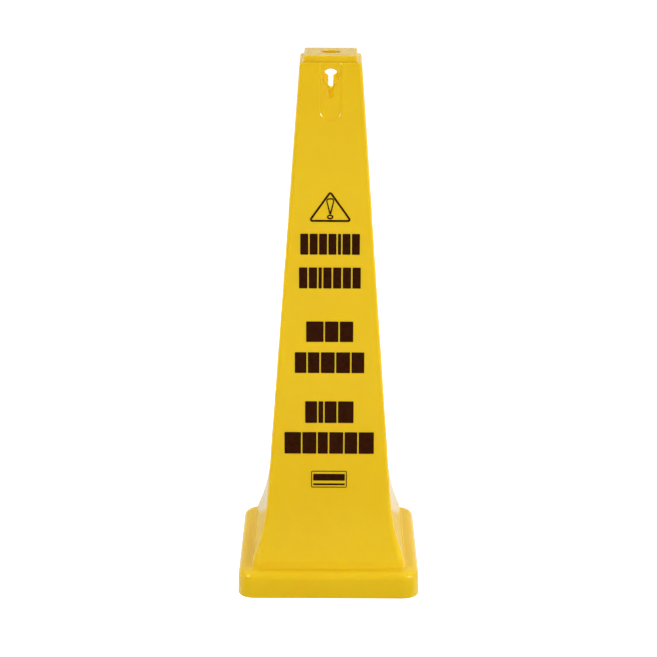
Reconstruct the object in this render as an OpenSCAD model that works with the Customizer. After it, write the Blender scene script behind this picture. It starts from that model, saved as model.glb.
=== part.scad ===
// Four-sided floor safety cone: one hollow, open-bottomed plastic moulding that stacks on its
// neighbours, with a printed panel set on each of its four faces.
// Millimetres, +Z up. The origin is at the middle of the base, on the floor.
// The front face looks along -Y, and the right face along +X.

/* [Overall] */
// Height from the floor to the top of the cap
total_h = 914.4; // [880:0.1:960]
// Side of the square base where it meets the floor
base_w = 311; // [300:1:330]
// Wall thickness of the moulding
wall = 3; // [2.5:0.1:3.5]

/* [Base] */
// Height of the base
base_h = 45; // [38:1:50]
// Corner radius of the base, seen from above
base_corner_r = 28; // [20:1:36]
// How far each side of the base leans in by its top edge
base_draft = 0.6; // [0.5:0.1:4]
// Rounding of the base's top edge
base_edge_r = 12; // [4:0.5:14]

/* [Pillar] */
// Width of the pillar at the shoulder, across its flat faces
shoulder_w = 102; // [96:1:108]
// Lean of each face from upright, in degrees
face_lean = 4.2; // [3.8:0.1:4.4]
// Radius of the pillar's upright corners
pillar_corner_r = 6; // [5:0.5:8]
// Width of the foot that the pillar stands on
foot_w = 264; // [260:1:268]
// Height of the foot above the base
foot_h = 13; // [8:1:18]
// Height above the floor at which the faces start to flare out to the foot
flare_top = 178; // [160:1:180]
// How late the flare bends outwards: 1 is a straight slope
flare_bow = 2.4; // [1.5:0.1:3]

/* [Cap] */
// Width of the square cap, at its top
cap_w = 88.4; // [84:0.1:92]
// Height of the cap above the shoulder
cap_h = 10.2; // [8:0.1:13]
// Rounding of the top edges of the shoulder and the cap
cap_edge_r = 2.5; // [1.5:0.5:3]
// Diameter of the hole in the middle of the cap
cap_hole_d = 32; // [24:1:40]

/* [Keyholes] */
// Diameter of the round head of each keyhole
head_d = 26.8; // [24:0.1:30]
// Height of the middle of the head below the top of the cap
head_drop = 33.4; // [32:0.1:36]
// Width of the slot below the head
slot_w = 7.8; // [7:0.1:12]
// Length of the slot, from the middle of the head to its lower end
slot_len = 32.8; // [28:0.1:40]
// Width of the sunk tongue round each keyhole
tongue_w = 38; // [36:1:42]
// Length of the tongue below the middle of the head
tongue_len = 73.6; // [66:0.1:80]
// Depth of the tongue below the face
tongue_depth = 1.5; // [1:0.1:2]

/* [Printing] */
// Thickness of the ink film, as modelled
ink_t = 0.25; // [0.1:0.05:0.5]
// Gap between neighbouring blocks of a printed row
block_gap = 2.4; // [1.5:0.1:4]
// Corner radius of the blocks
block_r = 1.2; // [0.2:0.1:2]
// Width of the lines of the warning triangle
triangle_line = 3.4; // [2:0.1:3.5]
// Width of the lines of the mark inside the triangle
mark_line = 2.6; // [1.5:0.1:2.6]
// Width of the plain panel near the foot of each face
label_w = 61; // [50:1:64]

/* [Hidden] */
SIDES = ["front", "right", "back", "left"];
PRINTS = ["hazard_symbol", "heading_print", "message_print", "translation_print", "label_print"];

corner_steps = 8;                     // flats in each rounded corner of a plan section
edge_steps = 4;                       // flats in a rounded top edge
flare_steps = 8;                      // flats down the flare
shoulder_z = total_h - cap_h;
foot_top_z = base_h + foot_h;
foot_draft = 1.3;                     // how far the foot leans in over its height
foot_corner_r = 12;
cap_corner_r = 5;
cap_draft = 0.5;
inner_corner_min = 2;                 // smallest corner radius of the hollow
slope = tan(face_lean);
ink_sink = 0.03;                      // how far the ink film sits into the face
head_z = total_h - head_drop;
pad_w = tongue_w - 2;                 // pad inside the wall that makes up for the tongue
overrun = 5;                          // how far a cutting shape runs past what it cuts

// Half the pillar's width on its straight, leaning part
function face_half(z) = shoulder_w / 2 + slope * (shoulder_z - z);

// How far the flare adds to that width, from nothing at flare_top to its most at the foot
flare_out = foot_w / 2 - foot_draft - face_half(foot_top_z);
function flare_half(z) =
    face_half(z) + flare_out * pow((flare_top - z) / (flare_top - foot_top_z), flare_bow);
function flare_corner_r(z) =
    pillar_corner_r
    + (foot_corner_r - pillar_corner_r) * (flare_top - z) / (flare_top - foot_top_z);

// Sections of the outside, from the floor up: [height, half width, corner radius]
base_top_half = base_w / 2 - base_draft;
function rounded_edge(top_z, half, corner_r, r) = [for (i = [0:edge_steps])
    let (a = 90 * i / edge_steps)
    [top_z - r * (1 - sin(a)), half - r * (1 - cos(a)), corner_r - r * (1 - cos(a)) / 2]];
outer_sections = concat(
    [[0, base_w / 2, base_corner_r]],
    rounded_edge(base_h, base_top_half, base_corner_r, base_edge_r),
    [[base_h, foot_w / 2, foot_corner_r]],
    [for (i = [0:flare_steps])
        let (z = foot_top_z + (flare_top - foot_top_z) * i / flare_steps)
        [z, flare_half(z), flare_corner_r(z)]],
    rounded_edge(shoulder_z, face_half(shoulder_z - cap_edge_r), pillar_corner_r, cap_edge_r),
    [[shoulder_z, cap_w / 2 + cap_draft, cap_corner_r]],
    rounded_edge(total_h, cap_w / 2, cap_corner_r, cap_edge_r));

// Sections of the hollow: the outside moved in and down by the wall
function hollow_section(z, half, corner_r) =
    [z, half - wall, max(corner_r - wall, inner_corner_min)];
inner_sections = concat(
    [hollow_section(-overrun, base_w / 2, base_corner_r)],
    [for (s = rounded_edge(base_h - wall, base_top_half, base_corner_r, base_edge_r - wall))
        hollow_section(s[0], s[1], s[2])],
    [hollow_section(base_h - wall, foot_w / 2, foot_corner_r)],
    [for (i = [0:flare_steps])
        let (z = foot_top_z + (flare_top - foot_top_z) * i / flare_steps)
        hollow_section(z, flare_half(z), flare_corner_r(z))],
    [hollow_section(shoulder_z - wall, face_half(shoulder_z - wall), pillar_corner_r)],
    [hollow_section(shoulder_z - wall, cap_w / 2 + cap_draft, cap_corner_r)],
    [hollow_section(total_h - wall, cap_w / 2, cap_corner_r)]);

// Outline of a rounded square, as points round its four corners
function rounded_rect(w, h, r, steps) = [for (corner = [0:3], i = [0:steps])
    let (
        a = 90 * (corner + i / steps),
        sx = (corner == 0 || corner == 3) ? 1 : -1,
        sy = (corner < 2) ? 1 : -1)
    [sx * (w / 2 - r) + r * cos(a), sy * (h / 2 - r) + r * sin(a)]];

// Outline of a convex shape with each corner rounded to its own radius, points anticlockwise
function corner_arc(before, at, after, r, steps) =
    let (
        u = (before - at) / norm(before - at),
        v = (after - at) / norm(after - at),
        bisector = (u + v) / norm(u + v),
        half_angle = acos(u * v) / 2,
        centre = at + bisector * r / sin(half_angle),
        start = atan2(-bisector[1], -bisector[0]) - (90 - half_angle))
    [for (i = [0:steps]) centre + r * [
        cos(start + 2 * (90 - half_angle) * i / steps),
        sin(start + 2 * (90 - half_angle) * i / steps)]];
function rounded_shape(points, radii, steps) =
    let (n = len(points))
    [for (i = [0:n - 1])
        each corner_arc(points[(i + n - 1) % n], points[i], points[(i + 1) % n], radii[i], steps)];

// A solid that joins square sections of the form [height, half width, corner radius]
module loft(sections) {
    n = 4 * (corner_steps + 1);
    last = len(sections) - 1;
    points = [for (s = sections)
        each [for (p = rounded_rect(2 * s[1], 2 * s[1], s[2], corner_steps)) [p[0], p[1], s[0]]]];
    sides = [for (k = [0:last - 1], i = [0:n - 1])
        let (j = (i + 1) % n)
        [k * n + i, (k + 1) * n + i, (k + 1) * n + j, k * n + j]];
    bottom = [[for (i = [0:n - 1]) i]];
    top = [[for (i = [n - 1:-1:0]) last * n + i]];
    polyhedron(points, concat(bottom, sides, top), convexity = 6);
}

// Puts its children on one of the four sides, as they are drawn for the front
module on_side(side) {
    turn = search([side], SIDES)[0] * 90;
    rotate([0, 0, turn]) children();
}

// Puts its children on the front face at a height: x to the right, y up the face, z outwards
module on_face(z) {
    translate([0, -face_half(z), z]) rotate([90 - face_lean, 0, 0]) children();
}

// Outline of the tongue, or of the pad behind it, round the middle of the head
module tongue_outline(w, up) {
    down = tongue_len - w / 2;
    translate([0, -down]) circle(d = w, $fn = 64);
    translate([-w / 2, -down]) square([w, down + up]);
}

module keyhole_cut() {
    slot_end = slot_len - slot_w / 2;
    depth = wall + tongue_depth + 2 * overrun;
    translate([0, 0, -depth + overrun]) cylinder(d = head_d, h = depth, $fn = 96);
    translate([0, -slot_end, -depth + overrun]) cylinder(d = slot_w, h = depth, $fn = 48);
    translate([-slot_w / 2, -slot_end, -depth + overrun]) cube([slot_w, slot_end, depth]);
}

module keyhole_pad() {
    up = (shoulder_z - wall / 2 - head_z) / cos(face_lean);
    pad_back = wall + tongue_depth;
    translate([0, 0, -pad_back]) linear_extrude(pad_back - tongue_depth - wall / 4)
        tongue_outline(pad_w, up);
}

module keyhole_tongue() {
    up = (shoulder_z - head_z) / cos(face_lean) + overrun;
    translate([0, 0, -tongue_depth]) linear_extrude(tongue_depth + overrun)
        tongue_outline(tongue_w, up);
}

// The one-piece moulding: base, foot, pillar, shoulder and cap, hollow and open underneath
module cone_shell() {
    color("gold") difference() {
        union() {
            difference() {
                loft(outer_sections);
                loft(inner_sections);
            }
            for (side = SIDES) on_side(side) on_face(head_z) keyhole_pad();
        }
        for (side = SIDES) on_side(side) on_face(head_z) {
            keyhole_tongue();
            keyhole_cut();
        }
        translate([0, 0, total_h - wall - overrun])
            cylinder(d = cap_hole_d, h = wall + 2 * overrun, $fn = 96);
    }
}

// Ink film under a flat outline, from just inside the face to its printed surface
module ink() {
    color([0.17, 0.06, 0.02]) translate([0, 0, -ink_sink]) linear_extrude(ink_t + ink_sink)
        children();
}

// Printed rows, each [height above the floor, height of the blocks, width, block widths].
// The blocks stand for letters without drawing any, and their widths are relative.
heading_rows = [
    [587.8, 35.2, 99, [1, 1, 1, 1, 0.4, 1, 1]],
    [530.6, 35.6, 103, [1, 1, 0.4, 1, 1, 1, 1]]];
message_rows = [
    [439, 35.2, 79, [1.3, 1, 1]],
    [385.2, 36, 117, [1, 1, 1.2, 1.2, 1.1]]];
translation_rows = [
    [298, 38, 82, [1, 0.4, 1, 1.3]],
    [243.8, 38, 152, [1.3, 1.1, 0.8, 1.1, 1, 1.2]]];

function sum_to(list, n) = n <= 0 ? 0 : list[n - 1] + sum_to(list, n - 1);

module block_row(row) {
    shares = row[3];
    n = len(shares);
    unit = (row[2] - (n - 1) * block_gap) / sum_to(shares, n);
    block_h = row[1] / cos(face_lean);
    on_face(row[0]) ink() for (i = [0:n - 1])
        translate([
            -row[2] / 2 + unit * (sum_to(shares, i) + shares[i] / 2) + i * block_gap,
            block_h / 2])
            polygon(rounded_rect(unit * shares[i], block_h, block_r, 4));
}

// Warning triangle: its corners before rounding, on the middle of its line
triangle_z = 644.6;
triangle_half = 34.2;
triangle_h = 47.9;
triangle_corner_r = 4;
module triangle_symbol() {
    leg = norm([triangle_half, triangle_h]);
    inradius = triangle_half * triangle_h / (triangle_half + leg);
    centre = [0, inradius];
    corners = [[-triangle_half, 0], [triangle_half, 0], [0, triangle_h]];
    grow = (inradius + triangle_line / 2) / inradius;
    shrink = (inradius - triangle_line / 2) / inradius;
    outer = [for (p = corners) centre + grow * (p - centre)];
    inner = [for (p = corners) centre + shrink * (p - centre)];
    outer_r = triangle_corner_r;
    inner_r = triangle_corner_r - triangle_line;
    difference() {
        polygon(rounded_shape(outer, [outer_r, outer_r, outer_r], 6));
        polygon(rounded_shape(inner, [inner_r, inner_r, inner_r], 4));
    }
}

// Outlined mark inside the triangle: a wedge over a flattened dot
wedge_top = 38.1;
wedge_bottom = 11.3;
wedge_half_top = 8;
wedge_half_bottom = 1.6;
dot_w = 10.8;
dot_h = 8.2;
dot_y = 6.6;
module mark_symbol() {
    line = mark_line;
    difference() {
        polygon(rounded_shape(
            [[-wedge_half_bottom, wedge_bottom], [wedge_half_bottom, wedge_bottom],
                [wedge_half_top, wedge_top], [-wedge_half_top, wedge_top]],
            [1.2, 1.2, 5, 5], 6));
        polygon(rounded_shape(
            [[-0.35, wedge_bottom + 2 * line], [0.35, wedge_bottom + 2 * line],
                [wedge_half_top - line, wedge_top - line], [line - wedge_half_top, wedge_top - line]],
            [0.3, 0.3, 2.4, 2.4], 6));
    }
    translate([0, dot_y]) difference() {
        polygon([for (a = [0:15:345]) [dot_w / 2 * cos(a), dot_h / 2 * sin(a)]]);
        polygon([for (a = [0:15:345])
            [(dot_w / 2 - line) * cos(a), (dot_h / 2 - line) * sin(a)]]);
    }
}

module hazard_symbol() {
    on_face(triangle_z) ink() {
        triangle_symbol();
        mark_symbol();
    }
}

// Plain panel near the foot: a thin frame round two bars
label_z = 183.6;
label_h = 29.8;
label_line = 1.4;
label_r = 2.6;
label_bar_w = label_w - 7;
label_bar_h = 12;
label_bar_y = 18.4;
label_thin_h = 3.2;
label_thin_y = 5.8;
module label_print() {
    on_face(label_z) ink() {
        translate([0, label_h / 2]) difference() {
            polygon(rounded_rect(label_w, label_h, label_r, 4));
            polygon(rounded_rect(label_w - 2 * label_line, label_h - 2 * label_line,
                label_r - label_line, 4));
        }
        translate([0, label_bar_y]) polygon(rounded_rect(label_bar_w, label_bar_h, 1.6, 4));
        translate([0, label_thin_y]) polygon(rounded_rect(label_bar_w, label_thin_h, 0.6, 4));
    }
}

module row_set(rows) {
    for (row = rows) block_row(row);
}

cone_shell();
for (side = SIDES) {
    on_side(side) hazard_symbol();
    on_side(side) row_set(heading_rows);
    on_side(side) row_set(message_rows);
    on_side(side) row_set(translation_rows);
    on_side(side) label_print();
}
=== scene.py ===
"""Looks of the floor safety cone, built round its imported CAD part.

Metres, +Z up, front face towards -Y. The yellow moulding is remade here as one closed skin, with rounded
edges, keyhole tongues that blend into the faces, and rolled keyhole rims. The printed areas stay the CAD's
own nodes and get an ink material.
"""

import math

import bpy
from mathutils import Matrix, Vector
from mathutils.geometry import delaunay_2d_cdt


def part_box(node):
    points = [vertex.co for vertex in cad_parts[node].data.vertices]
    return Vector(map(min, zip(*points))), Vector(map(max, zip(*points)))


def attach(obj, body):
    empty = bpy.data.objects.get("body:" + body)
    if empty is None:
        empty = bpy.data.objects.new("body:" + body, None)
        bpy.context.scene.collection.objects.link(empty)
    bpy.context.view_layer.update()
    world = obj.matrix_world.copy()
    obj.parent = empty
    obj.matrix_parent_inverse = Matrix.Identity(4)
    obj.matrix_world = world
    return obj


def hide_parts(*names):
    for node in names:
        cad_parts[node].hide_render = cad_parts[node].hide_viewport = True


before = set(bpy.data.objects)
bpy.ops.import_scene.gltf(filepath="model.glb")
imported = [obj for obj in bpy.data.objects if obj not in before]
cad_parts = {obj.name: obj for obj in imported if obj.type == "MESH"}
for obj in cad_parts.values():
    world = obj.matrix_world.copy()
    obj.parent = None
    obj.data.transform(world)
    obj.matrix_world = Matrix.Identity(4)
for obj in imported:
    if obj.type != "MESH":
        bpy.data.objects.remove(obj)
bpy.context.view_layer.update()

MM = 0.001

# ---- Sizes of the moulding, as in the CAD part ----
SHELL_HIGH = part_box("cone_shell")[1]
TOTAL_H = SHELL_HIGH.z
BASE_HALF = SHELL_HIGH.x
WALL = 3 * MM
BASE_H = 45 * MM
BASE_CORNER_R = 28 * MM
BASE_DRAFT = 0.6 * MM
BASE_EDGE_R = 12 * MM
SHOULDER_HALF = 51 * MM
FACE_LEAN = math.radians(4.2)
PILLAR_CORNER_R = 6 * MM
FOOT_HALF = 132 * MM
FOOT_H = 13 * MM
FOOT_DRAFT = 1.3 * MM
FOOT_CORNER_R = 12 * MM
FLARE_TOP = 178 * MM
FLARE_BOW = 2.4
CAP_HALF = 44.2 * MM
CAP_H = 10.2 * MM
CAP_DRAFT = 0.5 * MM
CAP_CORNER_R = 5 * MM
CAP_EDGE_R = 2.5 * MM
CAP_HOLE_R = 16 * MM
INNER_CORNER_MIN = 2 * MM
HEAD_R = 13.4 * MM
HEAD_Z = TOTAL_H - 33.4 * MM
SLOT_HALF = 3.9 * MM
SLOT_LEN = 32.8 * MM
TONGUE_HALF = 19 * MM
TONGUE_LEN = 73.6 * MM
TONGUE_DEPTH = 1.5 * MM
PAD_HALF = 18 * MM

SHOULDER_Z = TOTAL_H - CAP_H
FOOT_TOP_Z = BASE_H + FOOT_H
BASE_TOP_HALF = BASE_HALF - BASE_DRAFT
SLOPE = math.tan(FACE_LEAN)

# ---- Roundings that the CAD part leaves sharp ----
RIM_R = 0.8 * MM            # bottom edge of the base
FOOT_FILLET_R = 2 * MM      # where the foot stands on the base
FOOT_BLEND = 5 * MM         # reach of the blend between foot and flare, up and down
CAP_FILLET_R = 1.8 * MM     # where the cap stands on the shoulder
HOLE_EDGE_R = 1.2 * MM      # top edge of the cap's hole
HOLE_UNDER_R = 0.6 * MM     # lower edge of the cap's hole
INNER_FILLET_R = 2 * MM     # corners of the hollow
INNER_EDGE_R = 1 * MM       # edges that stick into the hollow
TONGUE_BLEND = 1.8 * MM     # half the width of the tongue's sloping edge
TONGUE_EDGE_IN = 2 * MM     # how far its middle is inside the CAD's sharp edge
PAD_BLEND = 0.9 * MM        # half the width of the pad's edge, inside the hollow
KEY_RIM_R = 2.4 * MM        # rolled front edge of each keyhole
KEY_BACK_R = 0.5 * MM       # its edge inside the hollow
KEY_CORNER_R = 3.4 * MM     # corner between a keyhole's head and its slot
KEY_RIM_REACH = 2.8 * MM    # line on the face just outside the rolled front edge
KEY_BACK_REACH = 1.1 * MM   # the same inside the hollow

# ---- Grid of the mesh ----
FACE_COLUMNS = 11           # points across each face, corners not counted
CORNER_SEGMENTS = 8
RIM_STEPS = 4               # of each half of the bottom rim
BASE_EDGE_STEPS = 12
EDGE_STEPS = 6              # of the shoulder's and the cap's edges, and the base's edge inside
FILLET_STEPS = 5
INNER_FILLET_STEPS = 4
INNER_EDGE_STEPS = 3
HOLE_EDGE_STEPS = 5
KEY_RIM_STEPS = 5           # across the keyhole's rounding
KEY_HEAD_STEPS = 48         # round the keyhole's head
KEY_CORNER_STEPS = 5
SLOT_END_STEPS = 14
TONGUE_END_STEPS = 24
TONGUE_EDGE_STEPS = 8
SIDE_POINTS = FACE_COLUMNS + CORNER_SEGMENTS - 1
RING_POINTS = 4 * SIDE_POINTS
WINDOW_FIRST, WINDOW_LAST = 2, 8      # face columns at the sides of each keyhole window
WINDOW_Z = 790 * MM         # lower edge of the keyhole windows
PILLAR_STEP = 60 * MM       # between the pillar's sections
PLATE_SHARES = (0.12, 0.5, 0.88)      # where the cap's top and ceiling have rings, between edge and hole


# ---- Sections of the moulding: (height, half width, corner radius) ----
def face_half(z):
    """Half the pillar's width on its straight, leaning part."""
    return SHOULDER_HALF + SLOPE * (SHOULDER_Z - z)


def flare_section(z, inset):
    """Section of the flare, moved in by the inset."""
    share = (FLARE_TOP - z) / (FLARE_TOP - FOOT_TOP_Z)
    most = FOOT_HALF - FOOT_DRAFT - face_half(FOOT_TOP_Z)
    corner_r = PILLAR_CORNER_R + (FOOT_CORNER_R - PILLAR_CORNER_R) * share
    return (z, face_half(z) + most * share ** FLARE_BOW - inset, corner_r - inset)


def quarter(steps):
    """Sine and cosine at even steps of a quarter turn."""
    for i in range(steps + 1):
        angle = math.pi / 2 * i / steps
        yield math.sin(angle), math.cos(angle)


def rounded_edge(top_z, half, corner_r, r, steps):
    """Rounding that goes from an upright side to a flat top, or to a hollow's flat ceiling."""
    edge = []
    for s, c in quarter(steps):
        inward = r * (1 - c)
        edge.append((top_z - r * (1 - s), half - inward, corner_r - inward / 2))
    return edge


def fillet(low_z, half, corner_r, r, steps):
    """Rounding that goes from a flat floor to an upright side, or from a ceiling up into its opening."""
    edge = []
    for s, c in quarter(steps):
        outward = r * (1 - s)
        edge.append((low_z + r * (1 - c), half + outward, corner_r + outward))
    return edge


def bottom_rim(half, corner_r, side):
    """Half of the rounded bottom rim, upwards. The side is -1 on the outside and 1 in the hollow."""
    rim = []
    for s, c in quarter(RIM_STEPS):
        out = side * RIM_R * (1 - s)
        rim.append((RIM_R * (1 - c), half + out, corner_r + out))
    return rim


def foot_blend(inset):
    """Smooth bend from the steep foot into the flare, upwards."""
    low_half = FOOT_HALF - FOOT_DRAFT * (1 - FOOT_BLEND / FOOT_H)
    low = (FOOT_TOP_Z - FOOT_BLEND, low_half - inset, FOOT_CORNER_R - inset)
    middle = flare_section(FOOT_TOP_Z, inset)
    high = flare_section(FOOT_TOP_Z + FOOT_BLEND, inset)
    steps = 6
    sections = []
    for i in range(steps + 1):
        t = i / steps
        weights = ((1 - t) ** 2, 2 * t * (1 - t), t * t)
        section = [sum(w * p[k] for w, p in zip(weights, (low, middle, high))) for k in range(3)]
        sections.append(tuple(section))
    return sections


def flare_and_pillar(inset, pillar_corner_r, top_z):
    """Sections from above the foot's blend to the top of the pillar, upwards."""
    steps = 24
    start = FOOT_TOP_Z + FOOT_BLEND
    heights = [start + (FLARE_TOP - start) * i / steps for i in range(1, steps + 1)]
    sections = [flare_section(z, inset) for z in heights]
    z = FLARE_TOP + PILLAR_STEP
    while z < WINDOW_Z - PILLAR_STEP / 2:
        sections.append((z, face_half(z) - inset, pillar_corner_r))
        z += PILLAR_STEP
    sections.append((WINDOW_Z, face_half(WINDOW_Z) - inset, pillar_corner_r))
    sections.append((top_z, face_half(top_z) - inset, pillar_corner_r))
    return sections


def outer_sections():
    """Outside, from the bottom rim up to the edge of the cap's top."""
    side_steps = 3
    side_top_z = BASE_H - BASE_EDGE_R
    side = []
    for i in range(1, side_steps):
        z = RIM_R + (side_top_z - RIM_R) * i / side_steps
        side.append((z, BASE_HALF - BASE_DRAFT * z / side_top_z, BASE_CORNER_R))
    pillar_top = SHOULDER_Z - CAP_EDGE_R
    cap_side = [(SHOULDER_Z + CAP_H / 2, CAP_HALF + CAP_DRAFT / 2, CAP_CORNER_R)]
    return (
        bottom_rim(BASE_HALF, BASE_CORNER_R, -1)
        + side
        + rounded_edge(BASE_H, BASE_TOP_HALF, BASE_CORNER_R, BASE_EDGE_R, BASE_EDGE_STEPS)
        + fillet(BASE_H, FOOT_HALF, FOOT_CORNER_R, FOOT_FILLET_R, FILLET_STEPS)
        + foot_blend(0)
        + flare_and_pillar(0, PILLAR_CORNER_R, pillar_top)
        + rounded_edge(SHOULDER_Z, face_half(pillar_top), PILLAR_CORNER_R, CAP_EDGE_R, EDGE_STEPS)[1:]
        + fillet(SHOULDER_Z, CAP_HALF + CAP_DRAFT, CAP_CORNER_R, CAP_FILLET_R, FILLET_STEPS)
        + cap_side
        + rounded_edge(TOTAL_H, CAP_HALF, CAP_CORNER_R, CAP_EDGE_R, EDGE_STEPS)
    )


def inner_sections():
    """Inside, from the bottom rim up to the ceiling under the cap."""
    ceiling = BASE_H - WALL
    low_half = BASE_TOP_HALF - WALL
    rim_half = BASE_HALF - WALL
    base_r = BASE_CORNER_R - WALL
    foot_half = FOOT_HALF - WALL
    foot_r = FOOT_CORNER_R - WALL
    pillar_r = max(PILLAR_CORNER_R - WALL, INNER_CORNER_MIN)
    cap_r = max(CAP_CORNER_R - WALL, INNER_CORNER_MIN)
    cap_half = CAP_HALF - WALL
    shoulder_under = SHOULDER_Z - WALL
    pillar_top = shoulder_under - INNER_FILLET_R
    top_half = face_half(pillar_top) - WALL
    return (
        bottom_rim(rim_half, base_r, 1)
        + rounded_edge(ceiling, low_half, base_r, BASE_EDGE_R - WALL, EDGE_STEPS)
        + fillet(ceiling, foot_half, foot_r, INNER_EDGE_R, INNER_EDGE_STEPS)
        + foot_blend(WALL)
        + flare_and_pillar(WALL, pillar_r, pillar_top)
        + rounded_edge(shoulder_under, top_half, pillar_r, INNER_FILLET_R, INNER_FILLET_STEPS)[1:]
        + fillet(shoulder_under, cap_half + CAP_DRAFT, cap_r, INNER_EDGE_R, INNER_EDGE_STEPS)
        + rounded_edge(TOTAL_H - WALL, cap_half, cap_r, INNER_EDGE_R, INNER_EDGE_STEPS)
    )


# ---- Rings of points ----
def square_ring(section):
    """Points round a square section with rounded corners, from the front's left end, anticlockwise."""
    z, half, corner_r = section
    flat = half - corner_r
    side = [Vector((flat * (2 * i / (FACE_COLUMNS - 1) - 1), -half, z)) for i in range(FACE_COLUMNS)]
    for i in range(1, CORNER_SEGMENTS):
        angle = math.pi / 2 * i / CORNER_SEGMENTS
        side.append(Vector((flat + corner_r * math.sin(angle), -flat - corner_r * math.cos(angle), z)))
    return [turned(p, quarter_turns) for quarter_turns in range(4) for p in side]


def round_ring(z, radius):
    """The same number of points round a circle, in step with square_ring."""
    middle = (FACE_COLUMNS - 1) / 2
    angles = [2 * math.pi * (i - middle) / RING_POINTS - math.pi / 2 for i in range(RING_POINTS)]
    return [Vector((radius * math.cos(a), radius * math.sin(a), z)) for a in angles]


def mixed_ring(ring_a, ring_b, share):
    """Ring part of the way from one ring to another."""
    return [a.lerp(b, share) for a, b in zip(ring_a, ring_b)]


def turned(point, quarter_turns):
    """A point turned about the upright axis."""
    x, y, z = point
    for _ in range(quarter_turns):
        x, y = -y, x
    return Vector((x, y, z))


def cap_hole_rings(edge_ring, under_ring):
    """Rings from the edge of the cap's top, over it, down its hole and out under its ceiling."""
    top_circle = round_ring(TOTAL_H, CAP_HOLE_R + HOLE_EDGE_R)
    under_z = TOTAL_H - WALL
    under_circle = round_ring(under_z, CAP_HOLE_R + HOLE_UNDER_R)
    rings = [mixed_ring(edge_ring, top_circle, share) for share in (*PLATE_SHARES, 1)]
    for s, c in list(quarter(HOLE_EDGE_STEPS))[1:]:
        rings.append(round_ring(TOTAL_H - HOLE_EDGE_R * (1 - c), CAP_HOLE_R + HOLE_EDGE_R * (1 - s)))
    for s, c in quarter(INNER_EDGE_STEPS):
        rings.append(round_ring(under_z + HOLE_UNDER_R * (1 - s), CAP_HOLE_R + HOLE_UNDER_R * (1 - c)))
    rings += [mixed_ring(under_circle, under_ring, share) for share in PLATE_SHARES]
    return rings


# ---- Keyhole and tongue outlines, flat on the face: x across it, s up it from the head's centre ----
SLOT_END = SLOT_LEN - SLOT_HALF             # middle of the slot's round end, below the head's
TONGUE_END_S = TONGUE_HALF - TONGUE_LEN     # middle of the tongue's round end
TONGUE_EDGE = (TONGUE_HALF - TONGUE_EDGE_IN, TONGUE_BLEND)
PAD_EDGE = (PAD_HALF, PAD_BLEND)
KEY_CORNER_X = SLOT_HALF + KEY_CORNER_R
KEY_CORNER_S = -math.sqrt((HEAD_R + KEY_CORNER_R) ** 2 - KEY_CORNER_X ** 2)


def arc(centre_x, centre_s, radius, start, end, steps):
    """Points on an arc, its angles in radians."""
    angles = [start + (end - start) * i / steps for i in range(steps + 1)]
    return [(centre_x + radius * math.cos(a), centre_s + radius * math.sin(a)) for a in angles]


def keyhole_outline(grow):
    """Closed outline of the keyhole, moved out from its edge, clockwise from the slot's lower left."""
    corner_angle = math.atan2(-KEY_CORNER_S, KEY_CORNER_X)
    corner = (KEY_CORNER_S, KEY_CORNER_R - grow)
    left_corner = arc(-KEY_CORNER_X, *corner, 0, corner_angle, KEY_CORNER_STEPS)
    head = arc(0, 0, HEAD_R + grow, math.pi + corner_angle, -corner_angle, KEY_HEAD_STEPS)
    right_corner = arc(KEY_CORNER_X, *corner, math.pi - corner_angle, math.pi, KEY_CORNER_STEPS)
    end = arc(0, -SLOT_END, SLOT_HALF + grow, 0, -math.pi, SLOT_END_STEPS)
    return left_corner[:-1] + head + right_corner[1:] + end


def keyhole_distance(x, s):
    """Distance outside the keyhole's edge, below zero in the hole."""
    x = abs(x)
    from_corner = math.hypot(x - KEY_CORNER_X, s - KEY_CORNER_S)
    past_slot = KEY_CORNER_X - x
    bearing = math.atan2(s - KEY_CORNER_S, past_slot)
    if past_slot > 0 and 0 < bearing < math.atan2(-KEY_CORNER_S, KEY_CORNER_X):
        return KEY_CORNER_R - from_corner
    to_head = math.hypot(x, s) - HEAD_R
    to_slot = (x if s > -SLOT_END else math.hypot(x, s + SLOT_END)) - SLOT_HALF
    return min(to_head, to_slot) if s < 0 else to_head


def tongue_line(half, top_s):
    """Open line down one side of the tongue, round its lower end and up the other side."""
    end = arc(0, TONGUE_END_S, half, -math.pi, 0, TONGUE_END_STEPS)
    return [(-half, top_s)] + end + [(half, top_s)]


def tongue_share(x, s, half, blend):
    """1 on a tongue of this half width, 0 outside it, with a smooth slope across its edge."""
    distance = (abs(x) if s > TONGUE_END_S else math.hypot(x, s - TONGUE_END_S)) - half
    return 1 - ease((distance / blend + 1) / 2)


def ease(share):
    """Smooth step from 0 to 1."""
    share = min(1, max(0, share))
    return share * share * (3 - 2 * share)


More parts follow.
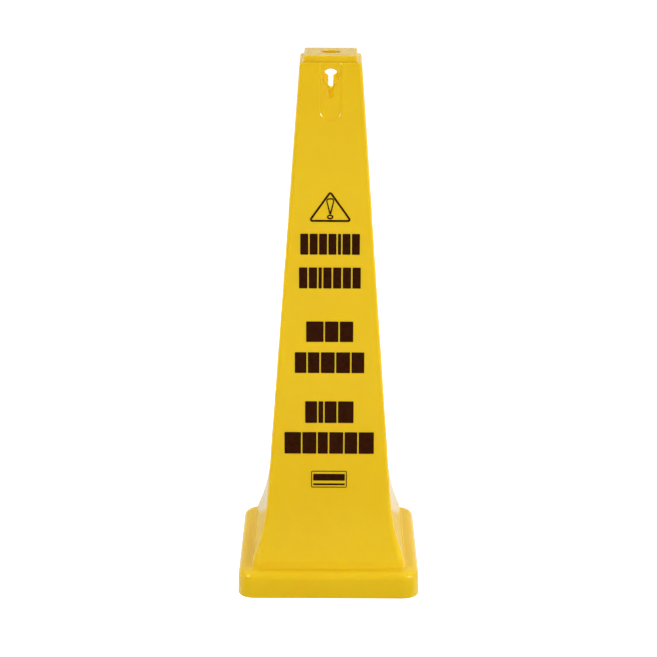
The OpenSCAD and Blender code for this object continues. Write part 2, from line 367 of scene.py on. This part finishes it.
class Window:
    """Patch of one skin round a keyhole, on the front face, between two columns of its rings."""

    def __init__(self, sections, fade_start, fade_end, key_edge_depth):
        self.sections = sections
        self.heights = [0]
        for a, b in zip(sections, sections[1:]):
            self.heights.append(self.heights[-1] + math.hypot(b[0] - a[0], b[1] - a[1]))
        self.fade = (self.heights[fade_start], self.heights[fade_end])
        self.fade_row = fade_end
        self.head_t = (HEAD_Z - WINDOW_Z) / math.cos(FACE_LEAN)
        self.key_shift = -key_edge_depth * SLOPE      # the hole runs square to the leaning face

    def skin_point(self, x, t, depth):
        """Point of the skin at a place across and up the face, sunk by a depth."""
        k = 0
        while k < len(self.sections) - 2 and t > self.heights[k + 1]:
            k += 1
        share = (t - self.heights[k]) / (self.heights[k + 1] - self.heights[k])
        z = self.sections[k][0] * (1 - share) + self.sections[k + 1][0] * share
        half = self.sections[k][1] * (1 - share) + self.sections[k + 1][1] * share
        return Vector((x, -half + depth / math.cos(FACE_LEAN), z))

    def fading(self, t):
        """1 on the face, down to 0 where the shoulder meets the cap."""
        start, end = self.fade
        return 1 - min(1, max(0, (t - start) / (end - start)))

    def frame_points(self):
        """Corner, side, top and bottom points as (ring, column) keys with their place on the patch."""
        last = len(self.sections) - 1
        columns = range(WINDOW_FIRST, WINDOW_LAST + 1)
        keys = [(0, j) for j in columns]
        keys += [(k, WINDOW_LAST) for k in range(1, last)]
        keys += [(last, j) for j in reversed(columns)]
        keys += [(k, WINDOW_FIRST) for k in range(last - 1, 0, -1)]
        places = []
        for k, j in keys:
            _, half, corner_r = self.sections[k]
            share = 2 * j / (FACE_COLUMNS - 1) - 1
            places.append((share * (half - corner_r), self.heights[k]))
        return keys, places

    def triangles(self, tongue_lines, key_rings):
        """Places and triangles of the patch, with the frame's keys and the keyhole's edge picked out."""
        keys, places = self.frame_points()
        count = len(places)
        edges = [(i, (i + 1) % count) for i in range(count)]
        rows = {k: i for i, (k, j) in enumerate(keys) if j == WINDOW_LAST}
        for i, (k, j) in enumerate(keys):
            if j == WINDOW_FIRST and 0 < k < len(self.sections) - 1:
                edges.append((i, rows[k]))
        for line in tongue_lines:
            first = len(places)
            places += [(x, s + self.head_t) for x, s in line]
            edges += [(i, i + 1) for i in range(first, len(places) - 1)]
        key_first = len(places)
        for ring in key_rings:
            first = len(places)
            places += [(x, s + self.head_t + self.key_shift) for x, s in ring]
            edges += [(i, i + 1) for i in range(first, len(places) - 1)]
            edges.append((len(places) - 1, first))
        scaled = [Vector((x / MM, t / MM)) for x, t in places]
        outline = [list(range(count))]
        inside_outline, weld = 1, 1e-7
        found, _, faces, origins, _, _ = delaunay_2d_cdt(scaled, edges, outline, inside_outline, weld)
        found = [(p.x * MM, p.y * MM) for p in found]
        source = {i: n for n, ids in enumerate(origins) for i in ids}
        frame_ids = {source[i]: keys[i] for i in range(count)}
        key_edge = [source[key_first + i] for i in range(len(key_rings[0]))]
        in_hole = set(key_edge)
        kept = [tuple(face) for face in faces if not in_hole.issuperset(face)]
        return found, kept, frame_ids, key_edge


def rim_steps(r):
    """How far out from the keyhole's edge its rounding has lines of points."""
    return [r * (1 - c) for _, c in quarter(KEY_RIM_STEPS)]


def rim_sink(distance, r):
    """How deep the keyhole's rounding is at a distance outside its edge."""
    if distance >= r:
        return 0
    return r - math.sqrt(max(0, r * r - (r - distance) ** 2))


class Skin:
    """Collects the points and faces of the moulding."""

    def __init__(self):
        self.points = []
        self.faces = []
        self.inside = []

    def add_face(self, numbers, inside):
        """Adds a face, seen from outside the moulding or from inside its hollow."""
        self.faces.append(numbers)
        self.inside.append(inside)

    def add_ring(self, ring):
        """Adds a ring and returns the number of its first point."""
        first = len(self.points)
        self.points += ring
        return first

    def join_rings(self, low, high, skipped=(), inside=False):
        """Quads between two rings, apart from the skipped columns."""
        for i in range(RING_POINTS):
            if i in skipped:
                continue
            j = (i + 1) % RING_POINTS
            self.add_face((low + i, low + j, high + j, high + i), inside)

    def add_window(self, window, ring_starts, side, patch, depth_at, inside):
        """Adds a window's patch on one side and returns the point numbers of the keyhole's edge."""
        places, triangles, frame_ids, key_edge = patch
        numbers = []
        for n, (x, t) in enumerate(places):
            if n in frame_ids:
                k, j = frame_ids[n]
                numbers.append(ring_starts[k] + side * SIDE_POINTS + j)
                continue
            numbers.append(len(self.points))
            self.points.append(turned(window.skin_point(x, t, depth_at(window, x, t)), side))
        for triangle in triangles:
            corners = [numbers[i] for i in triangle]
            self.add_face(corners[::-1] if inside else corners, inside)
        return [numbers[i] for i in key_edge]

    def join_edges(self, front, back):
        """Wall of a hole, between its front and back edges."""
        count = len(front)
        for i in range(count):
            j = (i + 1) % count
            self.add_face((front[i], back[i], back[j], front[j]), False)


def front_depth(window, x, t):
    """How far the outer skin is sunk below the face, by the tongue and by the keyhole's rolled rim."""
    s = t - window.head_t
    tongue = TONGUE_DEPTH * tongue_share(x, s, *TONGUE_EDGE) * window.fading(t)
    return tongue + rim_sink(keyhole_distance(x, s - window.key_shift), KEY_RIM_R)


def back_depth(window, x, t):
    """How far the inner skin is moved into the hollow: the pad behind the tongue, less the hole's edge."""
    s = t - window.head_t
    pad_depth = WALL + TONGUE_DEPTH - WALL * math.cos(FACE_LEAN)
    pad = pad_depth * tongue_share(x, s, *PAD_EDGE) * window.fading(t)
    return pad - rim_sink(keyhole_distance(x, s - window.key_shift), KEY_BACK_R)


def window_rows(sections, cap_foot_half):
    """First section of a window, and the one where the flat shoulder ends."""
    first = next(k for k, s in enumerate(sections) if abs(s[0] - WINDOW_Z) < MM / 10)
    fade_end = next(k for k, s in enumerate(sections) if k > first and s[1] <= cap_foot_half + MM / 100)
    return first, fade_end


def make_window(sections, cap_foot_half, key_edge_depth):
    """Window of one skin and its first section's number."""
    first, fade_end = window_rows(sections, cap_foot_half)
    part = sections[first:fade_end + 2]
    fade_end -= first
    return Window(part, fade_end - 1, fade_end, key_edge_depth), first


def tongue_lines(window, half, blend):
    """Lines that shape the tongue's edge."""
    top_s = window.heights[window.fade_row] - window.head_t
    steps = TONGUE_EDGE_STEPS
    return [tongue_line(half + blend * (2 * i / steps - 1), top_s) for i in range(steps + 1)]


def key_rings(r, reach):
    """Rings that shape the keyhole's rounding, the edge first, and one just outside it."""
    rings = [keyhole_outline(out) for out in rim_steps(r)]
    return rings + [keyhole_outline(reach)]


def build_moulding():
    """The whole moulding as one closed skin, which rides on the root body."""
    skin = Skin()
    outside = outer_sections()
    inside = inner_sections()
    outer_starts = [skin.add_ring(square_ring(s)) for s in outside]
    edge_ring = square_ring(outside[-1])
    under_ring = square_ring(inside[-1])
    hole_starts = [skin.add_ring(ring) for ring in cap_hole_rings(edge_ring, under_ring)]
    inner_starts = [skin.add_ring(square_ring(s)) for s in inside]

    cap_foot_half = CAP_HALF + CAP_DRAFT
    outer_window, outer_first = make_window(outside, cap_foot_half + CAP_FILLET_R, TONGUE_DEPTH + KEY_RIM_R)
    inner_window, inner_first = make_window(
        inside, cap_foot_half - WALL + INNER_EDGE_R, WALL + TONGUE_DEPTH - KEY_BACK_R)
    sides = range(4)
    window_columns = {side * SIDE_POINTS + j for side in sides for j in range(WINDOW_FIRST, WINDOW_LAST)}

    outer_last = outer_first + len(outer_window.sections) - 1
    for k in range(len(outer_starts) - 1):
        open_here = window_columns if outer_first <= k < outer_last else ()
        skin.join_rings(outer_starts[k], outer_starts[k + 1], open_here)
    chain = [outer_starts[-1]] + hole_starts + [inner_starts[-1]]
    for low, high in zip(chain, chain[1:]):
        skin.join_rings(low, high)
    inner_last = inner_first + len(inner_window.sections) - 1
    for k in range(len(inner_starts) - 1):
        open_here = window_columns if inner_first <= k < inner_last else ()
        skin.join_rings(inner_starts[k + 1], inner_starts[k], open_here, True)
    skin.join_rings(inner_starts[0], outer_starts[0])

    outer_patch = outer_window.triangles(
        tongue_lines(outer_window, *TONGUE_EDGE), key_rings(KEY_RIM_R, KEY_RIM_REACH))
    inner_patch = inner_window.triangles(
        tongue_lines(inner_window, *PAD_EDGE), key_rings(KEY_BACK_R, KEY_BACK_REACH))
    for side in sides:
        front = skin.add_window(
            outer_window, outer_starts[outer_first:], side, outer_patch, front_depth, False)
        back = skin.add_window(
            inner_window, inner_starts[inner_first:], side, inner_patch, back_depth, True)
        skin.join_edges(front, back)
    return skin


def mesh_object(name, points, faces):
    """Object of a closed mesh, without the points that no face uses."""
    used = sorted({i for face in faces for i in face})
    place = {old: new for new, old in enumerate(used)}
    mesh = bpy.data.meshes.new(name)
    mesh.from_pydata([points[i] for i in used], [], [[place[i] for i in face] for face in faces])
    mesh.validate()
    mesh.shade_smooth()
    obj = bpy.data.objects.new(name, mesh)
    bpy.context.scene.collection.objects.link(obj)
    return obj


# ---- Materials ----
YELLOW = ((0.81, 0.525, 0.012), (0.83, 0.55, 0.012))     # outside, lit from in front
# The inside's colour is brighter and more orange than the outside's: a painted glow, standing in for light
# that soaks through the wall.
PAINTED_GLOW = ((0.90, 0.50, 0.12), (0.92, 0.53, 0.12))          # inside, seen by light that soaks through the wall
INK = ((0.024, 0.005, 0.001), (0.038, 0.009, 0.002))
FLOOR = ((0.40, 0.40, 0.40), (0.42, 0.42, 0.42))         # for the light that bounces off it
OUTSIDE_REACH = (5, 3.5, 0.3)    # how far red, green and blue light travel in the wall, in mm
INSIDE_REACH = (30, 16, 6)
OUTSIDE_SOAK = 0.6               # how much of the light enters the wall
INSIDE_SOAK = 1
INK_SHEEN = 0.02                 # next to nothing, because the ink is matt


def new_material(name):
    """Material with its node tree, its main shader and a texture position in object space."""
    material = bpy.data.materials.new(name)
    material.use_nodes = True
    tree = material.node_tree
    shader = next(n for n in tree.nodes if n.type == "BSDF_PRINCIPLED")
    position = tree.nodes.new("ShaderNodeTexCoord").outputs["Object"]
    return material, tree, shader, position


def noise(tree, position, scale, detail, roughness=0.5):
    """Noise texture's value."""
    node = tree.nodes.new("ShaderNodeTexNoise")
    node.inputs["Scale"].default_value = scale
    node.inputs["Detail"].default_value = detail
    node.inputs["Roughness"].default_value = roughness
    tree.links.new(position, node.inputs["Vector"])
    return node.outputs["Fac"]


def ramp(tree, value, places, colours):
    """Colour that goes from one colour to another between two values."""
    node = tree.nodes.new("ShaderNodeValToRGB")
    for element, place, colour in zip(node.color_ramp.elements, places, colours):
        element.position = place
        element.color = (*colour, 1)
    tree.links.new(value, node.inputs["Fac"])
    return node.outputs["Color"]


def spread(tree, value, low, high):
    """Value from 0.3 to 0.7 mapped to a range."""
    node = tree.nodes.new("ShaderNodeMapRange")
    node.inputs["From Min"].default_value = 0.3
    node.inputs["From Max"].default_value = 0.7
    node.inputs["To Min"].default_value = low
    node.inputs["To Max"].default_value = high
    tree.links.new(value, node.inputs["Value"])
    return node.outputs["Result"]


def bump(tree, height, strength, distance, normal=None):
    """Bump from a height."""
    node = tree.nodes.new("ShaderNodeBump")
    node.inputs["Strength"].default_value = strength
    node.inputs["Distance"].default_value = distance
    tree.links.new(height, node.inputs["Height"])
    if normal is not None:
        tree.links.new(normal, node.inputs["Normal"])
    return node.outputs["Normal"]


def math_node(tree, operation, *values):
    """Result of a sum on values or sockets."""
    node = tree.nodes.new("ShaderNodeMath")
    node.operation = operation
    for socket, value in zip(node.inputs, values):
        if isinstance(value, (int, float)):
            socket.default_value = value
        else:
            tree.links.new(value, socket)
    return node.outputs["Value"]


def plastic_material(name, colours, soak, reach):
    """Glossy moulded plastic: a faint flow in its colour, and the orange peel of its surface.

    The soak is how much of the light enters the wall, and the reach is how far its red, green and blue
    travel there, in mm.
    """
    material, tree, shader, position = new_material(name)
    flow = noise(tree, position, scale=5, detail=3)
    colour = ramp(tree, flow, (0.35, 0.65), colours)
    tree.links.new(colour, shader.inputs["Base Color"])
    handling = noise(tree, position, scale=45, detail=4, roughness=0.6)
    tree.links.new(spread(tree, handling, low=0.12, high=0.17), shader.inputs["Roughness"])
    waves = noise(tree, position, scale=60, detail=2)
    waviness = bump(tree, waves, strength=0.15, distance=0.15 * MM)
    grain = noise(tree, position, scale=700, detail=2)
    peel = bump(tree, grain, strength=0.12, distance=0.02 * MM, normal=waviness)
    tree.links.new(peel, shader.inputs["Normal"])
    shader.inputs["IOR"].default_value = 1.48
    shader.inputs["Subsurface Weight"].default_value = soak
    shader.inputs["Subsurface Radius"].default_value = reach
    shader.inputs["Subsurface Scale"].default_value = MM
    return material


def ink_material():
    """Matt dark ink, a little uneven where the screen laid it down."""
    material, tree, shader, position = new_material("dark_ink")
    cover = noise(tree, position, scale=140, detail=5, roughness=0.65)
    colour = ramp(tree, cover, (0.35, 0.7), INK)
    tree.links.new(colour, shader.inputs["Base Color"])
    wear = noise(tree, position, scale=60, detail=3)
    tree.links.new(spread(tree, wear, low=0.42, high=0.55), shader.inputs["Roughness"])
    shader.inputs["Specular IOR Level"].default_value = INK_SHEEN
    grain = noise(tree, position, scale=1600, detail=2)
    tree.links.new(bump(tree, grain, strength=0.2, distance=0.02 * MM), shader.inputs["Normal"])
    return material


def floor_material():
    """Plain white floor. The eye sees it glow, as on a light table, so that it has no horizon."""
    material, tree, shader, position = new_material("white_floor")
    unevenness = noise(tree, position, scale=30, detail=3)
    colour = ramp(tree, unevenness, (0.3, 0.7), FLOOR)
    tree.links.new(colour, shader.inputs["Base Color"])
    shader.inputs["Roughness"].default_value = 0.9
    shader.inputs["Emission Color"].default_value = (1, 1, 1, 1)
    for_eye = tree.nodes.new("ShaderNodeLightPath").outputs["Is Camera Ray"]
    tree.links.new(for_eye, shader.inputs["Emission Strength"])
    return material


def apply_material(obj, material):
    """Gives every face of an object one material."""
    obj.data.materials.clear()
    obj.data.materials.append(material)


# ---- Stage, light and camera ----
FRONT_LIGHT = 0.10                      # the surroundings' light, all round
LOW_LIGHT, HIGH_LIGHT = 1.02, 0.58      # what they add behind, low down and high up
LEFT_SHARE, RIGHT_SHARE = 0.85, 1.0     # how much of that comes from each side
SOFTBOXES = (
    # name, height looked at, bearing, height angle, distance, width, watts: in metres and degrees
    ("left_softbox", 0.83, -57, 18, 2.6, 0.9, 26),
    ("right_softbox", 0.83, 57, 18, 2.6, 0.9, 33),
)
FILLS = (
    # the same, for lights that don't mirror in the plastic
    ("front_fill", 0.6, 0, -8, 1.4, 0.8, 8.2),
    ("top_fill", 0.92, 0, 90, 0.45, 0.3, 0.6),
    ("rear_fill", 0.92, 180, 50, 1.3, 0.5, 6.5),
    ("left_fill", 0.1, -95, 15, 2, 0.8, 9),
    ("right_fill", 0.1, 95, 15, 2, 0.8, 12.5),
    ("back_fill", 0.6, 180, 4, 2.6, 1.2, 36),
)
FLOOR_R = 6
FLOOR_GAP = 0.3 * MM                    # keeps the floor clear of the cone's rim
CAMERA_PLACE = (-2.0 * MM, -3117.6 * MM, 1408.95 * MM)
CAMERA_DOWN = 17.33                     # degrees below level
CAMERA_ROLL = 0.25                      # degrees
CAMERA_LENS = 103.82                    # in mm, on a 36 mm sensor


def make_floor():
    """Round white floor under the cone."""
    steps = 96
    angles = [2 * math.pi * i / steps for i in range(steps)]
    points = [(FLOOR_R * math.cos(a), FLOOR_R * math.sin(a), 0) for a in angles]
    floor = mesh_object("floor", points, [tuple(range(steps))])
    floor.location.z = -FLOOR_GAP
    floor.visible_glossy = False
    apply_material(floor, floor_material())


def direction_share(tree, axis, span, values):
    """Value that goes smoothly from one value to the other while part of a direction crosses a span."""
    node = tree.nodes.new("ShaderNodeMapRange")
    node.interpolation_type = "SMOOTHSTEP"
    for name, value in zip(("From Min", "From Max", "To Min", "To Max"), (*span, *values)):
        node.inputs[name].default_value = value
    tree.links.new(axis, node.inputs["Value"])
    return node.outputs["Result"]


def make_world():
    """White surroundings for the eye. Their light is weak in front, and strongest low down behind."""
    world = bpy.data.worlds.new("studio")
    bpy.context.scene.world = world
    world.use_nodes = True
    tree = world.node_tree
    backdrop = tree.nodes["Background"]
    backdrop.inputs["Color"].default_value = (1, 1, 1, 1)
    split = tree.nodes.new("ShaderNodeSeparateXYZ")
    tree.links.new(tree.nodes.new("ShaderNodeTexCoord").outputs["Generated"], split.inputs["Vector"])
    behind = direction_share(tree, split.outputs["Y"], (-0.4, 0.3), (0, 1))
    by_height = direction_share(tree, split.outputs["Z"], (-0.15, 0.28), (LOW_LIGHT, HIGH_LIGHT))
    by_side = direction_share(tree, split.outputs["X"], (-0.15, 0.15), (LEFT_SHARE, RIGHT_SHARE))
    added = math_node(tree, "MULTIPLY", by_height, by_side)
    total = math_node(tree, "MULTIPLY_ADD", behind, added, FRONT_LIGHT)
    lit = tree.nodes.new("ShaderNodeBackground")
    tree.links.new(total, lit.inputs["Strength"])
    for_eye = tree.nodes.new("ShaderNodeLightPath").outputs["Is Camera Ray"]
    mix = tree.nodes.new("ShaderNodeMixShader")
    tree.links.new(for_eye, mix.inputs["Fac"])
    tree.links.new(lit.outputs["Background"], mix.inputs[1])
    tree.links.new(backdrop.outputs["Background"], mix.inputs[2])
    tree.links.new(mix.outputs["Shader"], tree.nodes["World Output"].inputs["Surface"])


def add_softbox(name, target_z, bearing, height_angle, distance, width, watts, mirrored):
    """Square soft light that looks at the cone's axis. Bearing 0 is in front, 90 to the right."""
    turn, rise = math.radians(bearing), math.radians(height_angle)
    target = Vector((0, 0, target_z))
    away = Vector((math.sin(turn) * math.cos(rise), -math.cos(turn) * math.cos(rise), math.sin(rise)))
    light = bpy.data.lights.new(name, "AREA")
    light.shape = "SQUARE"
    light.size = width
    light.energy = watts
    obj = bpy.data.objects.new(name, light)
    obj.location = target + away * distance
    obj.rotation_euler = away.to_track_quat("Z", "Y").to_euler()
    obj.visible_glossy = mirrored
    obj.visible_camera = False
    bpy.context.scene.collection.objects.link(obj)


def make_lights():
    """Two softboxes that mirror in the plastic, and fills that don't."""
    for values in SOFTBOXES:
        add_softbox(*values, True)
    for values in FILLS:
        add_softbox(*values, False)


def make_camera():
    """Camera in front of the cone, well above its middle, looking down on it."""
    camera = bpy.data.objects.new("camera", bpy.data.cameras.new("camera"))
    camera.data.sensor_width = 36
    camera.data.lens = CAMERA_LENS
    tilt = Matrix.Rotation(math.radians(90 - CAMERA_DOWN), 4, "X")
    roll = Matrix.Rotation(math.radians(CAMERA_ROLL), 4, "Z")
    camera.matrix_world = Matrix.Translation(CAMERA_PLACE) @ tilt @ roll
    bpy.context.scene.collection.objects.link(camera)
    bpy.context.scene.camera = camera


def make_cone():
    """The moulding in place of its CAD node, and the ink on the CAD's printed areas."""
    skin = build_moulding()
    moulding = mesh_object("cone_moulding", skin.points, skin.faces)
    shading = moulding.modifiers.new("even_shading", "WEIGHTED_NORMAL")
    shading.keep_sharp = False
    moulding.data.materials.append(plastic_material("yellow_plastic", YELLOW, OUTSIDE_SOAK, OUTSIDE_REACH))
    # The inner skin gets the painted glow colour, with full soak and a longer reach, so that the hollow
    # looks lit through the wall.
    moulding.data.materials.append(plastic_material("painted_glow_plastic", PAINTED_GLOW, INSIDE_SOAK, INSIDE_REACH))
    moulding.data.polygons.foreach_set("material_index", [int(inside) for inside in skin.inside])
    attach(moulding, "root")
    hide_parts("cone_shell")
    ink = ink_material()
    for name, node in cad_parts.items():
        if name != "cone_shell":
            apply_material(node, ink)


make_camera()
make_world()
make_floor()
make_lights()
make_cone()
bpy.context.scene.view_settings.view_transform = "Standard"
